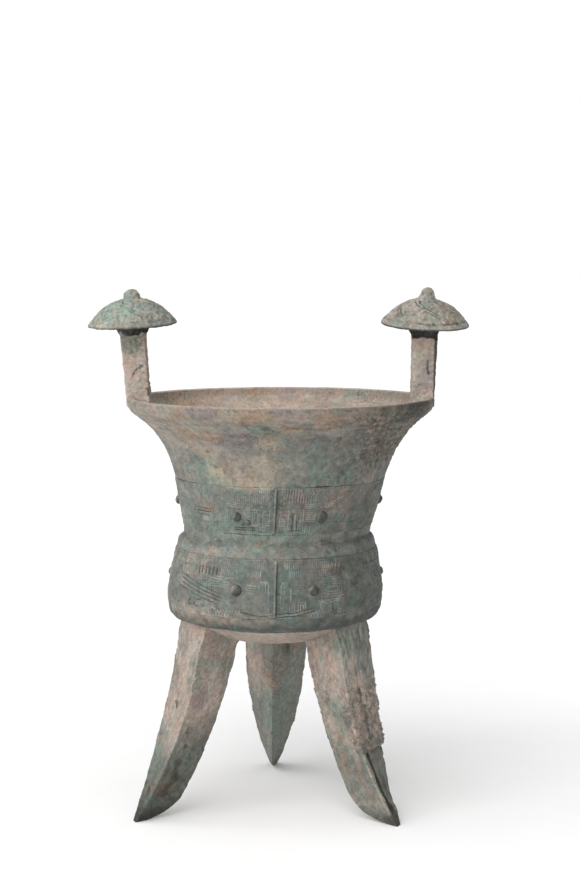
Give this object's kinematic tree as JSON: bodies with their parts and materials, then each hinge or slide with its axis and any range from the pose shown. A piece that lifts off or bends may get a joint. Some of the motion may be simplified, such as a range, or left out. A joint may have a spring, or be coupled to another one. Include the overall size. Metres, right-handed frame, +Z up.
{
  "type": "bronze jia",
  "caption": "Ancient cast bronze wine vessel (jia): flared bowl with relief bands, legs of triangular section, capped posts on the lip and a strap handle.",
  "frame": {"origin": "on the floor, centred under the vessel's bounding box", "axes": "+Z up; the plain front with the middle mask looks to -Y and the handle to +Y; the posts stand left and right along X"},
  "size_m": [0.2368, 0.191, 0.3267],
  "materials": {
    "bronze": "cast bronze under a matt grey-green and buff burial patina"
  },
  "bodies": {
    "root": {"jia": "bronze"}
  },
  "joints": []
}
